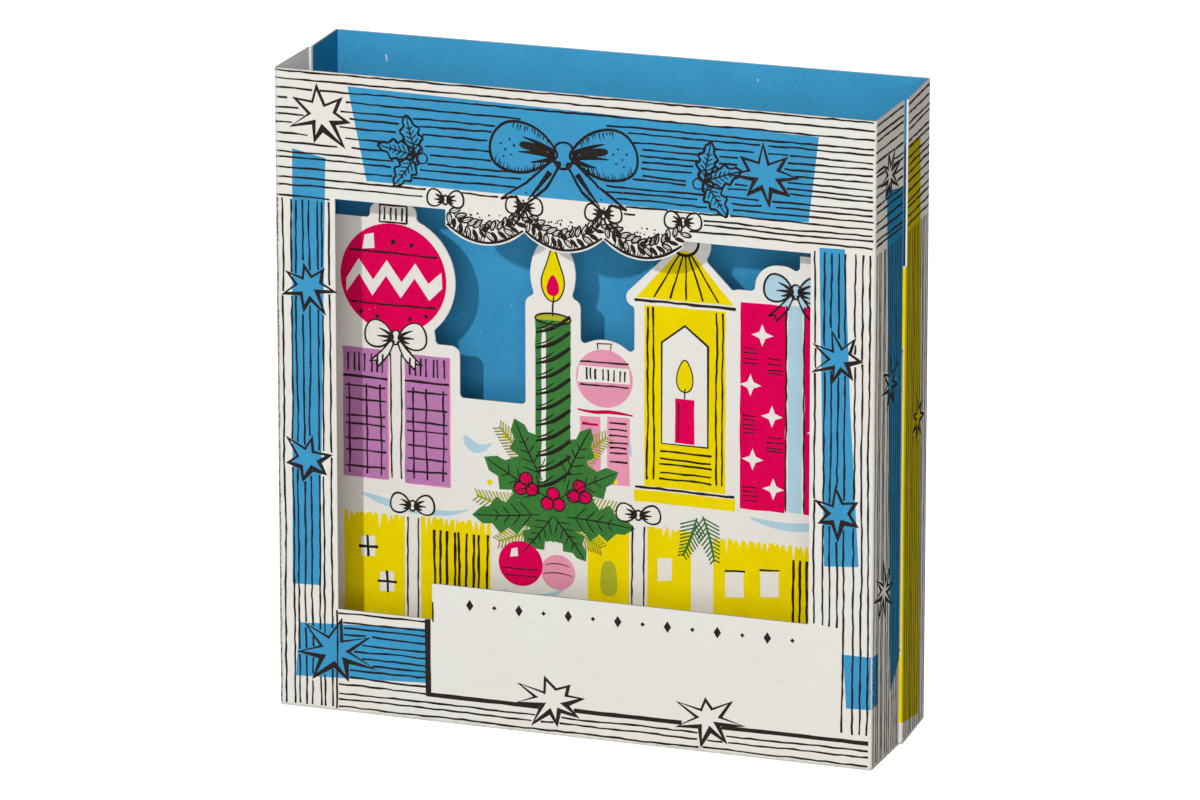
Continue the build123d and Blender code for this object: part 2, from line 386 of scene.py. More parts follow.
class Print:
    """What is printed on one panel. The inks are named from the lowest film to the highest."""

    def __init__(self, name, panel, inks, seed):
        self.name = name
        self.panel = panel
        self.inks = inks
        self.chance = random.Random(seed)
        self.fields = {name: [] for name in inks}
        self.strokes = {name: [] for name in inks}
        self.shapes = []

    def field(self, ink_name, outline, smooth=False, holes=(), rough=0.0):
        """A flat field of ink, with bare holes. Rough is how far a straight edge strays."""
        outlines = [outline] + list(holes)
        if rough:
            outlines = [self.roughened(points, rough) for points in outlines]
        self.fields[ink_name].append([(points, [1.0] * len(points), True, smooth) for points in outlines])

    def roughened(self, outline, rough):
        """A straight-sided outline cut by hand: more points, each a little off."""
        points = []
        for index, corner in enumerate(outline):
            start = Vector(corner)
            end = Vector(outline[(index + 1) % len(outline)])
            steps = max(1, int((end - start).length / 3))
            for step in range(steps):
                spot = start.lerp(end, step / steps)
                points.append((spot.x + self.chance.uniform(-rough, rough),
                               spot.y + self.chance.uniform(-rough, rough)))
        return points

    def stroke(self, points, width=PEN, closed=False, smooth=True, taper=(0.45, 0.45), ink_name="black"):
        """A stroke of the pen or brush, thinner at its ends, by the shares in taper."""
        widths = [width * self.chance.uniform(0.78, 1.2) for point in points]
        if not closed:
            widths[0] = width * taper[0]
            widths[-1] = width * taper[1]
        self.strokes[ink_name].append((points, widths, closed, smooth))

    def line(self, start, end, width=PEN, stray=0.3, ink_name="black"):
        """A straight line drawn by hand: it drifts, thickens and thins."""
        start = Vector(start)
        end = Vector(end)
        length = (end - start).length
        if length < SHORTEST_LINE:
            return
        way = (end - start).normalized()
        aside = Vector((-way.y, way.x))
        steps = max(2, int(length / PEN_STEP))
        points = []
        widths = []
        for step in range(steps + 1):
            spot = start.lerp(end, step / steps)
            drift = noise.noise(Vector((spot.x * 0.06, spot.y * 0.06, start.dot(aside) * 0.4))) * stray
            spot += aside * (drift + self.chance.uniform(-0.1, 0.1))
            points.append((spot.x, spot.y))
            widths.append(width * self.chance.uniform(0.72, 1.24))
        self.strokes[ink_name].append((points, widths, False, False))

    def block(self, *outlines):
        """Keeps the stripes that are drawn next out of these outlines."""
        self.shapes += outlines

    def free_runs(self, level, low, high, upright):
        """The parts of a stripe that lie outside the blocked outlines."""
        taken = []
        for outline in self.shapes:
            crossings = []
            for index, corner in enumerate(outline):
                other = outline[(index + 1) % len(outline)]
                along, beside = (corner[1], corner[0]) if upright else corner
                next_along, next_beside = (other[1], other[0]) if upright else other
                if (beside > level) != (next_beside > level):
                    share = (level - beside) / (next_beside - beside)
                    crossings.append(along + share * (next_along - along))
            crossings.sort()
            taken += list(zip(crossings[::2], crossings[1::2]))
        runs = []
        for taken_low, taken_high in sorted(taken):
            if taken_low > low:
                runs.append((low, min(taken_low, high)))
            low = max(low, taken_high)
        runs.append((low, high))
        return [(first, last) for first, last in runs if last - first > SHORTEST_RUN]

    def stripes(self, levels, low, high, upright=False, width=PEN, ends=0.4, stray=0.3, ink_name="black"):
        """Pen lines at these levels, from low to high, broken where something else is drawn."""
        for level in levels:
            for first, last in self.free_runs(level, low, high, upright):
                first += self.chance.uniform(0, ends if first > low else min(ends, 0.3))
                last -= self.chance.uniform(0, ends if last < high else min(ends, 0.3))
                if last - first < SHORTEST_STRIPE:
                    continue
                if upright:
                    self.line((level, first), (level, last), width, stray, ink_name)
                else:
                    self.line((first, level), (last, level), width, stray, ink_name)

    def ruled(self, span, low, high, **looks):
        """Stripes from low to high at uneven levels. The span is the levels' lowest, highest and step."""
        lowest, highest, step = span
        count = max(1, round((highest - lowest) / step))
        gap = (highest - lowest) / count
        levels = [lowest + gap * (index + 0.5) + self.chance.uniform(-0.22, 0.22) * gap
                  for index in range(count)]
        self.stripes(levels, low, high, **looks)

    def lay(self):
        """Makes one piece for each ink and wraps it onto the panel."""
        for order, ink_name in enumerate(self.inks):
            if not self.fields[ink_name] and not self.strokes[ink_name]:
                continue
            bm = bmesh.new()
            for index, splines in enumerate(self.fields[ink_name]):
                film = drawn_mesh(splines, False)
                for vert in film.vertices:
                    vert.co.z *= 1 + index % FIELD_LEVELS
                bm.from_mesh(film)
            if self.strokes[ink_name]:
                bm.from_mesh(drawn_mesh(self.strokes[ink_name], True))
            rise = LOWEST_RISE + RISE_STEP * order
            self.wrap(bm, rise)
            mesh = bpy.data.meshes.new(f"{self.name}_{ink_name}")
            bm.to_mesh(mesh)
            bm.free()
            piece = bpy.data.objects.new(mesh.name, mesh)
            scene.collection.objects.link(piece)
            mesh.materials.append(INK_FINISHES[ink_name])
            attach(piece, "root")

    def wrap(self, bm, rise):
        """Gives a flat drawing its films' heights, cuts it at the bends and lays it on the panel."""
        bmesh.ops.remove_doubles(bm, verts=bm.verts, dist=0.0005)
        for cut in self.panel.cuts():
            whole = bm.verts[:] + bm.edges[:] + bm.faces[:]
            bmesh.ops.bisect_plane(bm, geom=whole, plane_co=(cut, 0, 0), plane_no=(1, 0, 0))
        for vert in bm.verts:
            height = vert.co.z
            if height < -0.001:
                height = -SINK
            elif height < 0.001:
                height = rise
            elif height < 0.9:
                height = rise + PEN_CROWN
            else:
                height = rise + FIELD_STEP * (height - 1)
            vert.co = self.panel.place(vert.co.x, vert.co.y, height)
        bmesh.ops.recalc_face_normals(bm, faces=bm.faces)


def star(centre, radius, points=5, turn=0.0, waist=0.42, uneven=None):
    """The outline of a star with so many points."""
    outline = []
    for index in range(points * 2):
        angle = math.radians(turn) + math.pi / 2 + index * math.pi / points
        reach = radius if index % 2 == 0 else radius * waist
        if uneven:
            reach *= uneven.uniform(0.84, 1.18)
            angle += uneven.uniform(-0.5, 0.5) / points
        outline.append((centre[0] + reach * math.cos(angle), centre[1] + reach * math.sin(angle)))
    return outline


def shifted(outline, centre, scale, move):
    """An outline made smaller about a centre and moved a little."""
    return [(centre[0] + (x - centre[0]) * scale + move[0], centre[1] + (y - centre[1]) * scale + move[1])
            for x, y in outline]


def inset(outline, width):
    """The outline drawn again a pen's width inside itself, with its sharp tips left solid."""
    points = []
    for index, corner in enumerate(outline):
        here = Vector(corner)
        came = (here - Vector(outline[index - 1])).normalized()
        goes = (Vector(outline[(index + 1) % len(outline)]) - here).normalized()
        inward = Vector((-came.y, came.x)) + Vector((-goes.y, goes.x))
        spot = here + inward * width / max(1 + came.dot(goes), 0.25)
        points.append((spot.x, spot.y))
    return points


def drawn_star(sheet, centre, radius, points=5, turn=0.0, waist=0.46, pen=0.7, stretch=1.0):
    """A star in pen, with its lower notches filled in, and the stripes kept out of it."""
    outer = star(centre, radius, points, turn, waist, sheet.chance)
    outer = [(centre[0] + (x - centre[0]) * stretch, y) for x, y in outer]
    inner = shifted(inset(outer, pen), centre, 1.0, (-0.1, 0.14))
    for index in range(1, len(inner), 2):
        if inner[index][1] < centre[1]:
            inner[index] = tuple(Vector(inner[index]).lerp(Vector(centre), sheet.chance.uniform(0.1, 0.42)))
    sheet.field("black", outer, holes=[inner])
    sheet.block(shifted(outer, centre, 1.04, (0, 0)))


SHIFT_X = cad_box[0].x / MM + FRONT_EDGE
SHIFT_Y = cad_box[0].y / MM
INK_FINISHES = {name: ink(name + "_ink", colour) for name, colour in INKS.items() if name != "white"}
INK_FINISHES["white"] = paper("bare_paper")
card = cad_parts["card"]
card.data.materials.clear()
card.data.materials.append(paper("card_paper"))


def placed(points, centre, width, height, turn=0.0):
    """A shape given in shares of its width and height, put at its place and turned."""
    angle = math.radians(turn)
    spots = []
    for x, y in points:
        x *= width
        y *= height
        spots.append((centre[0] + x * math.cos(angle) - y * math.sin(angle),
                      centre[1] + x * math.sin(angle) + y * math.cos(angle)))
    return spots


def rectangle(left, right, low, high, slant=0.0):
    return [(left, low), (right, low + slant), (right, high + slant), (left, high)]


def circle(centre, radius, count=12):
    """The control points of a smooth circle."""
    reach = radius / math.cos(math.pi / count)
    return [(centre[0] + reach * math.cos(2 * math.pi * index / count),
             centre[1] + reach * math.sin(2 * math.pi * index / count)) for index in range(count)]


def inked(sheet, ink_name, outline, width=PEN, smooth=True):
    """A shape filled with an ink, if any, and outlined in pen."""
    if ink_name:
        sheet.field(ink_name, outline, smooth)
    if smooth:
        sheet.stroke(outline, width, closed=True)
    else:
        for index, corner in enumerate(outline):
            sheet.line(corner, outline[(index + 1) % len(outline)], width, 0.1)


BOW_LOOP = [(0.03, 0.04), (0.17, 0.46), (0.38, 0.56), (0.5, 0.2), (0.48, -0.28), (0.26, -0.4), (0.06, -0.1)]
BOW_CREASES = [[(0.06, 0.04), (0.17, 0.2), (0.27, 0.26)], [(0.07, -0.02), (0.18, 0.02), (0.3, 0.0)],
               [(0.06, -0.06), (0.15, -0.14), (0.22, -0.16)]]
BOW_TAIL = [(0.02, -0.14), (0.12, -0.6), (0.3, -1.0), (0.31, -0.78), (0.42, -0.84), (0.24, -0.5),
            (0.08, -0.1)]
BOW_KNOT = [(-0.06, -0.24), (-0.07, 0.22), (0.07, 0.24), (0.06, -0.22)]
LEAF = [(0.0, 0.0), (0.14, 0.2), (0.22, 0.13), (0.38, 0.32), (0.48, 0.2), (0.62, 0.3), (0.72, 0.14),
        (0.86, 0.14), (1.0, 0.0), (0.86, -0.12), (0.74, -0.13), (0.62, -0.28), (0.5, -0.18), (0.38, -0.32),
        (0.24, -0.14), (0.14, -0.18)]


def hatched(sheet, path, lean, reach, gap, width=PEN * 0.8):
    """Short strokes that start along a path of straight runs and lean the given way."""
    for first, last in zip(path, path[1:]):
        first = Vector(first)
        last = Vector(last)
        count = max(1, round((last - first).length / gap))
        for index in range(count):
            root = first.lerp(last, (index + sheet.chance.uniform(0.2, 0.8)) / count)
            tip = root + Vector(lean) * reach * sheet.chance.uniform(0.5, 1.1)
            sheet.stroke([tuple(root), tuple(tip)], width, smooth=False, taper=(1.1, 0.35))


def bow(sheet, centre, width, height, ink_name=None, tails=True, pen=PEN):
    """A ribbon bow with creased loops, a knot and two forked tails."""
    for side in (1, -1):
        for shape in ([BOW_TAIL] if tails else []) + [BOW_LOOP]:
            outline = placed(shape, centre, width * side, height)
            inked(sheet, ink_name, outline, pen, smooth=shape is BOW_LOOP)
            sheet.block(outline)
        for crease in BOW_CREASES:
            fold = placed(crease, centre, width * side, height)
            sheet.stroke(fold, pen * 1.5, taper=(1.4, 0.3))
    knot = placed(BOW_KNOT, centre, width, height)
    inked(sheet, ink_name, knot, pen)
    sheet.block(knot)


def leaf(sheet, base, length, turn, ink_name=None, pen=PEN, veins=3):
    """A pointed holly leaf with its rib and veins."""
    outline = placed(LEAF, base, length, length * 0.9, turn)
    if ink_name:
        sheet.field(ink_name, outline)
    else:
        inked(sheet, None, outline, pen, smooth=False)
    sheet.block(outline)
    sheet.stroke(placed([(0.02, 0.0), (0.5, 0.03), (0.94, 0.0)], base, length, length, turn), pen)
    for index in range(veins):
        root = 0.14 + 0.62 * index / veins
        reach = 1 - root
        for side in (1, -1):
            vein = [(root, 0.01), (root + 0.1 * reach, 0.12 * reach * side),
                    (root + 0.18 * reach, 0.22 * reach * side)]
            sheet.stroke(placed(vein, base, length, length, turn), pen * 0.8)


def berries(sheet, centre, radius, ink_name=None):
    """Three berries in a cluster."""
    for angle in (90, 210, 330):
        spot = placed([(1, 0)], centre, radius, radius, angle)[0]
        inked(sheet, ink_name, circle(spot, radius * 0.95, 8), PEN * 0.8)
        sheet.block(circle(spot, radius * 1.1, 8))


def twig(sheet, base, length, turn, ink_name, needle=3.4, count=13):
    """A fir twig: a bent stem with needles that get shorter to its tip."""
    stem = placed([(0, 0), (0.5, 0.06), (1, 0)], base, length, length, turn)
    sheet.stroke(stem, 0.8, ink_name=ink_name)
    for index in range(count):
        share = (index + 0.5) / count
        reach = needle * (1.1 - 0.75 * share) / length
        for side in (1, -1):
            root = (share, 0.1 * share * (1 - share))
            tip = (share + reach * 0.8, root[1] + reach * side)
            needle_line = placed([root, tip], base, length, length, turn)
            sheet.stroke(needle_line, 0.75, smooth=False, ink_name=ink_name)


def garland(sheet, start, end, top, sag, size):
    """A rope of leaves that hangs in an arc between two points, darker along its lower side."""
    count = round((end - start) / (size * 0.42))
    for index in range(count):
        share = (index + 0.5) / count
        x = start + (end - start) * share
        y = top - sag * 4 * share * (1 - share)
        slope = math.degrees(math.atan2(-sag * 4 * (1 - 2 * share), end - start))
        for side in (1, -1):
            turn = slope + side * sheet.chance.uniform(38, 62)
            reach = size * sheet.chance.uniform(0.8, 1.0)
            blade = [(0.0, 0.0), (0.35, 0.2), (0.75, 0.16), (1.0, 0.0), (0.7, -0.16), (0.3, -0.18)]
            outline = placed(blade, (x, y), reach, reach, turn)
            if side < 0 and index % 3:
                sheet.field("black", shifted(outline, (x, y), 0.9, (0, 0)), smooth=True)
            else:
                sheet.stroke(outline, PEN * 0.85, closed=True)
                sheet.stroke(placed([(0.1, 0), (0.8, 0)], (x, y), reach, reach, turn), PEN * 0.7,
                             smooth=False)
        if index % 4 == 2:
            disc(sheet, "black", (x, y + 0.4), 0.75, 8)


def disc(sheet, ink_name, centre, radius, count=12):
    sheet.field(ink_name, circle(centre, radius, count), smooth=True)


def dots(sheet, spots, radius, ink_name="black"):
    for spot in spots:
        disc(sheet, ink_name, spot, radius * sheet.chance.uniform(0.8, 1.2), 6)


def bar(sheet, ink_name, left, right, low, high, slant=0.0, rough=0.1):
    """A rectangle of ink with edges cut by hand."""
    sheet.field(ink_name, rectangle(left, right, low, high, slant), rough=rough)


def print_front():
    """The front panel: pen stripes and blue bars round the window, stars, a garland and a plain label."""
    sheet = Print("front", Panel("left fold", "front left", "front right", "free edge", -71.8),
                  ["blue", "white", "black"], 11)
    sheet.field("blue", [(-54.1, 149.1), (58.5, 147.2), (56.2, 127.3), (-49.6, 127.3)])
    sheet.field("blue", [(-67.7, 133.4), (-59.6, 131.8), (-61.9, 29.9), (-68.6, 29.6)])
    sheet.field("blue", [(58.8, 121.7), (64.8, 121.9), (66.4, 84.0), (68.6, 48.0), (60.4, 47.3)])
    sheet.field("blue", [(-66.9, 20.4), (-35.4, 22.2), (-35.5, 9.1), (-68.0, 7.4)])
    sheet.field("blue", [(65.1, 26.9), (71.7, 26.9), (71.7, 14.4), (65.9, 14.2)])
    for centre, radius, points, turn, stretch in (
        ((-60.5, 141.6), 7.8, 7, 8, 1.05), ((46.0, 137.0), 7.6, 8, 4, 1.1), ((-64.0, 101.0), 6.8, 7, 10, 1.0),
        ((-64.4, 60.0), 6.4, 6, -12, 1.0), ((63.6, 96.0), 6.6, 7, 14, 1.0), ((63.4, 60.0), 6.2, 6, 0, 1.0),
        ((-58.0, 14.2), 8.2, 7, -6, 1.15), ((-5.0, 8.0), 6.6, 8, 12, 1.35), ((33.0, 7.8), 6.4, 7, 10, 1.3),
    ):
        drawn_star(sheet, centre, radius, points, turn, stretch=stretch)
    knot = (-2.0, 137.5)
    width = 36.0
    height = 13.5
    bow(sheet, knot, width, height, pen=0.62)
    for side in (1, -1):
        half = (knot, width * side, height)
        lower = placed([(0.47, -0.22), (0.4, -0.36), (0.26, -0.37), (0.13, -0.2)], *half)
        hatched(sheet, lower, (-0.25 * side, 1.0), 2.0, 0.75)
        upper = placed([(0.1, 0.24), (0.2, 0.42), (0.34, 0.5)], *half)
        hatched(sheet, upper, (0.2 * side, -1.0), 1.5, 0.9)
        dots(sheet, placed([(0.33, 0.1), (0.36, 0.2), (0.39, 0.02), (0.42, 0.12), (0.35, -0.06), (0.4, -0.1),
                            (0.17, -0.62), (0.2, -0.74), (0.25, -0.7), (0.27, -0.84)], *half), 0.26)
        fold = placed([(0.09, -0.3), (0.16, -0.56), (0.24, -0.82)], *half)
        sheet.stroke(fold, 0.9, taper=(1.5, 0.3))
        hollow = [(0.08, 0.03), (0.18, 0.17), (0.29, 0.2), (0.3, 0.08), (0.2, 0.02)]
        sheet.field("black", placed(hollow, *half), smooth=True)
    for joint, tails in ((-30.5, False), (-11.5, True), (7.5, True), (26.5, False)):
        bow(sheet, (joint, 124.6), 9.0, 4.6, tails=tails)
    span = 19.0
    top = 122.6
    sag = 4.4
    for left in (-30.5, -11.5, 7.5):
        garland(sheet, left, left + span, top, sag, 3.6)
        hem = [(left + span / 2 * (1 + share), 119.3 - 3.9 * (1 - share ** 2)) for share in
               (-0.97, -0.75, -0.5, -0.25, 0, 0.25, 0.5, 0.75, 0.97)]
        sheet.stroke(hem, 0.6, taper=(0.8, 0.8))
        hatched(sheet, hem[1:5], (0.25, 1.0), 1.7, 0.62)
        hatched(sheet, hem[5:8], (-0.2, 1.0), 1.0, 0.9)
        for index in range(26):
            share = sheet.chance.uniform(0.08, 0.92)
            hang = top - sag * 4 * share * (1 - share)
            spot = (left + span * share, hang + sheet.chance.uniform(1.8, 4.2) * math.sin(math.pi * share))
            dots(sheet, [spot], 0.2)
    sheet.block([(-31, 122.5), (-30, 126), (-2, 124), (26, 126), (27, 122.5), (27, 110), (-31, 110)])
    for base, turn in (((-37.5, 134.5), 170), ((-37.5, 134.5), 235), ((-37.5, 134.5), 105),
                       ((31.5, 134.5), 20), ((31.5, 134.5), 80), ((31.5, 134.5), 305)):
        leaf(sheet, base, 9.5, turn, pen=0.56, veins=5)
    berries(sheet, (-37.2, 134.5), 1.3)
    berries(sheet, (31.2, 134.5), 1.3)
    label = [(-34.4, 40), (56.6, 40), (56.6, 33.4), (64.3, 33.0), (64.3, 6.95), (-34.4, 6.95)]
    sheet.block(label)
    window = [(-57.9, 24), (-57.9, 122.2), (-31, 122.2), (-31, 119.8), (57.3, 119.8), (57.3, 24)]
    sheet.block(window)
    sheet.stripes([147.6, 149.7, 151.6], -71.7, 71.6, stray=0.15)
    sheet.ruled((121.6, 146.4, 2.05), -71.7, -12.0, ends=1.6)
    sheet.ruled((121.6, 146.4, 1.6), 8.0, 71.5, ends=1.6)
    sheet.stripes([-71.5], 0.4, 121.6, upright=True, width=0.36, stray=0.12)
    sheet.ruled((-70.8, -57.9, 1.7), 0.6, 121.6, upright=True)
    sheet.ruled((57.3, 71.5, 1.7), 8.0, 121.0, upright=True)
    sheet.ruled((5.6, 24.4, 1.7), -57.6, -35.6)
    sheet.ruled((0.4, 5.6, 1.5), -57.6, 71.3)
    sheet.line((-57.7, 24.3), (-57.9, 0.5))
    sheet.field("black", [(-36.0, 24.5), (-34.7, 24.5), (-34.6, 6.8), (-35.9, 6.2)], rough=0.08)
    for left, right in sheet.free_runs(6.3, -35.8, 71.3, False):
        bar(sheet, "black", left, right, 5.9, 6.9, rough=0.07)
    sheet.line((-34.1, 28.8), (-34.15, 24.0), 0.4)
    for index in range(14):
        x = -25.0 + index * 6.0
        diamond = [(x - 0.9, 28.9), (x, 30.3), (x + 0.9, 28.9), (x, 27.5)]
        if index % 2:
            diamond = [(x - 0.55, 28.9), (x, 29.45), (x + 0.55, 28.9), (x, 28.35)]
        sheet.field("black", diamond)
    return sheet


def print_side(name, panel, reach, fields, stars, seed, ink_name="blue", first=0.2, lines_low=0.6):
    """A side: level stripes at the top, upright stripes below, with fields of colour and stars."""
    sheet = Print(name, panel, [ink_name, "black"], seed)
    for outline in fields:
        sheet.field(ink_name, outline)
    for centre, radius, points, turn in stars:
        drawn_star(sheet, centre, radius, points, turn, 0.42, 0.95)
    sheet.ruled((121.4, 151.8, 2.05), first, reach, width=0.53)
    sheet.ruled((first + 0.2, reach, 1.6), lines_low, 121.0, upright=True, width=0.5)
    sheet.lay()


def print_scene():
    """The scene panel: parcels, baubles, a candle among leaves and a lantern, on white ground."""
    sheet = Print("scene", Panel("front left", "left fold", "right fold", "back right", -71.5),
                  ["pale_blue", "pink", "yellow", "olive", "green", "crimson", "purple", "white", "black"],
                  23)

    bauble = (-51.0, 99.0)
    disc(sheet, "crimson", bauble, 13.0)
    zigzag = [(-62.6, 98.0), (-59.5, 103.0), (-56.0, 98.2), (-52.6, 103.2), (-49.0, 98.2), (-45.6, 103.0),
              (-42.4, 98.4), (-39.2, 101.4), (-39.0, 97.6), (-42.2, 94.4), (-45.8, 99.4), (-49.2, 94.4),
              (-52.8, 99.4), (-56.2, 94.4), (-59.4, 99.4), (-62.6, 94.8)]
    sheet.field("white", zigzag)
    sheet.field("white", [(-58.6, 105.4), (-55.6, 105.8), (-55.8, 109.4), (-58.0, 108.8)])
    for level in (92.6, 105.0):
        half = math.sqrt(13.0 ** 2 - (level - bauble[1]) ** 2) - 0.8
        sheet.line((bauble[0] - half, level), (bauble[0] + half, level), 0.5)
    dots(sheet, [(-59, 90.4), (-55, 89.6), (-47, 89.6), (-43, 90.6), (-51, 107.6), (-46.5, 107.2)], 0.55)
    inked(sheet, "white", rectangle(-54.3, -47.7, 112.2, 116.4), smooth=False)
    sheet.stripes([-53, -51.6, -50.2, -48.8], 112.6, 116.0, upright=True)

    for left, low in ((-63.6, 50.6), (-48.4, 50.2)):
        block = rectangle(left, left + 11.0, low, low + 31.0)
        sheet.field("purple", block, rough=0.12)
        sheet.field("pink", shifted(block, (left, low), 1.0, (0.3, -0.18)), rough=0.08)
    for left, right in ((-63.2, -53.0), (-48.0, -37.8)):
        sheet.ruled((51.6, 73.6, 3.1), left, right)
        sheet.ruled((left, right, 3.1), 51.2, 73.4, upright=True)
        sheet.line((left - 0.4, 74.8), (right + 0.4, 74.6), 0.6)
        sheet.ruled((left, right, 1.5), 76.0, 80.6, upright=True, ends=1.4)
    for x in (-51.7, -49.3):
        sheet.line((x, 51.0), (x, 81.0), 0.4)
    bow(sheet, (-50.5, 84.9), 15.4, 7.4, "white")

    bar(sheet, "green", -16.3, -7.7, 44.0, 92.6)
    inked(sheet, "olive", placed(circle((0, 0), 1.0, 10), (-12.0, 93.0), 4.3, 1.3))
    for index in range(11):
        level = 52.5 + index * 3.7
        turn_line = [(-16.2, level), (-13.4, level + 0.6), (-10.4, level + 2.2), (-7.8, level + 4.4)]
        sheet.stroke(turn_line, 0.85, taper=(0.5, 0.9))
        sheet.stroke(shifted(turn_line, (-16.2, level), 0.5, (0.2, 0.9)), 0.4)
    sheet.field("white", [(-14.9, 54.0), (-13.7, 54.0), (-13.7, 90.5), (-14.7, 90.5)], rough=0.12)
    sheet.stroke([(-12.0, 93.6), (-12.2, 95.6), (-11.7, 98.6)], 0.6)
    flame = [(-12.0, 111.2), (-10.4, 106.2), (-8.9, 102.0), (-9.9, 98.2), (-12.0, 96.8), (-14.1, 98.2),
             (-15.1, 102.0), (-13.4, 106.2)]
    inked(sheet, "yellow", flame, 0.3)
    core = [(0, 1), (0.36, 0.42), (0.3, 0.05), (0, -0.05), (-0.3, 0.05), (-0.36, 0.42)]
    sheet.field("crimson", placed(core, (-12.0, 98.6), 4.6, 5.6), smooth=True)

    for base, length, turn in (((-14, 46), 17.0, 170), ((-10, 46), 17.0, 10), ((-12, 45), 15.0, 206),
                               ((-12, 45), 13.0, -26), ((-14, 56), 15.0, 138), ((-10, 56), 15.0, 42)):
        twig(sheet, base, length, turn, "olive", 4.0, 17)
    bush = [(-0.5, -0.3), (-0.34, -0.1), (-0.46, 0.1), (-0.24, 0.2), (-0.26, 0.46), (0.0, 0.34), (0.24, 0.5),
            (0.24, 0.22), (0.48, 0.1), (0.32, -0.12), (0.5, -0.3), (0.2, -0.34), (0.0, -0.5), (-0.2, -0.34)]
    sheet.field("green", placed(bush, (-12.0, 49.0), 21.0, 19.0))
    for base, length, turn in (((-13, 50), 18.0, 152), ((-11, 50), 17.0, 28), ((-15, 46), 17.0, 186),
                               ((-9, 46), 17.0, -4), ((-14.5, 54), 16.0, 116), ((-9.5, 54), 15.5, 64),
                               ((-12, 46), 13.0, 232), ((-12, 46), 13.0, -52)):
        leaf(sheet, base, length, turn, "green", 0.5, 4)
    dots(sheet, [(-26, 57), (-23.5, 64), (-1.5, 61.5), (3.2, 55.6), (-30, 49), (6, 48.5), (-24, 40.6),
                 (-16.5, 60), (-8.2, 60.6), (-27.6, 52.4), (-20.6, 57.6), (-4.2, 56.6)], 0.62, "yellow")
    for spot in ((-12.0, 49.6), (-18.6, 52.6), (-5.6, 52.0)):
        berries(sheet, spot, 1.6, "crimson")

    bar(sheet, "pink", -5.4, -0.4, 54.6, 70.6, 0.2)
    bar(sheet, "pink", 1.2, 6.6, 54.8, 71.0, 0.2)
    sheet.ruled((60.0, 70.4, 1.5), 1.6, 6.2, ends=0.8)
    sheet.stroke([(-6.0, 72.2), (-2.6, 71.6), (2.4, 72.4), (7.4, 71.8)], 0.8, ink_name="crimson")
    sheet.ruled((60.0, 70.0, 2.6), -5.0, -0.8, ends=0.6, width=0.7, ink_name="crimson")
    disc(sheet, "pink", (0.5, 80.0), 6.9)
    sheet.field("white", [(-5.6, 82.6), (6.4, 83.0), (6.8, 79.2), (-6.0, 78.8)], rough=0.1)
    for level in (83.6, 78.2):
        sheet.line((-5.4, level), (6.4, level + 0.2), 0.4)
    sheet.ruled((-4.8, 6.2, 1.4), 79.4, 82.4, upright=True, ends=0.6)
    sheet.stroke([(-1.0, 86.8), (-1.2, 88.2), (2.2, 88.4), (2.0, 86.8)], 0.45, smooth=False)

    roof = [(8.2, 100.2), (18.6, 112.0), (21.4, 112.0), (31.8, 100.2)]
    sheet.field("yellow", roof, rough=0.08)
    for foot, head in ((12.5, 18.8), (16.4, 19.6), (20.2, 20.2), (24.2, 20.8), (28.0, 21.4)):
        sheet.line((foot, 100.6), (head, 111.4), 0.42)
    sheet.line((7.8, 99.6), (32.2, 99.4), 0.7)
    sheet.stroke(circle((20.0, 114.2), 3.2, 10), 0.6, closed=True)
    pane = [(14.4, 66.0), (25.6, 66.0), (25.6, 90.0), (20.0, 94.4), (14.4, 90.0)]
    sheet.field("yellow", rectangle(10.2, 29.8, 55.4, 98.6), holes=[pane], rough=0.1)
    sheet.stroke(pane + [pane[0]], 0.55, smooth=False)
    sheet.stroke([(20.0, 77.0), (19.9, 78.2), (20.1, 79.6)], 0.45)
    bar(sheet, "crimson", 17.7, 22.3, 66.4, 77.0, rough=0.08)
    sheet.line((18.4, 67.0), (18.5, 76.2), 0.35)
    small_flame = placed([(0, 1), (0.3, 0.5), (0.26, 0.12), (0, 0), (-0.26, 0.12), (-0.3, 0.5)],
                         (20.0, 78.4), 7.0, 9.0)
    inked(sheet, "yellow", small_flame, 0.3)
    sheet.stripes([10.9, 12.4, 27.6, 29.1], 57.0, 98.2, upright=True)
    sheet.ruled((56.4, 65.2, 1.9), 13.8, 26.6, ends=1.0, width=0.45)
    bar(sheet, "yellow", 7.8, 32.2, 51.6, 54.4)
    sheet.line((8.0, 55.0), (32.0, 54.8), 0.6)

    bar(sheet, "crimson", 33.3, 44.2, 52.4, 101.4)
    bar(sheet, "crimson", 48.8, 59.8, 52.4, 101.6)
    for spot in ((38.6, 94.0), (35.8, 82.0), (41.0, 75.0), (36.4, 64.4), (41.4, 57.8), (54.0, 92.0),
                 (52.0, 72.0)):
        sheet.field("white", star(spot, 2.6, 4, 0, 0.4))
    bar(sheet, "pale_blue", 44.8, 48.2, 52.6, 101.6, rough=0.06)
    for x in (44.4, 48.6):
        sheet.line((x, 52.8), (x, 101.4), 0.4)
    for left, right, low, high in (
        (33.8, 37.6, 86.6, 91.0), (39.6, 43.6, 66.0, 70.6), (33.8, 37.0, 70.0, 75.0),
        (39.8, 43.6, 84.4, 89.0), (33.8, 37.6, 54.0, 58.6),
    ):
        sheet.ruled((low, high, 1.1), left, right, ends=1.2, width=0.32)
    bow(sheet, (46.5, 104.9), 15.4, 7.4, "pale_blue")

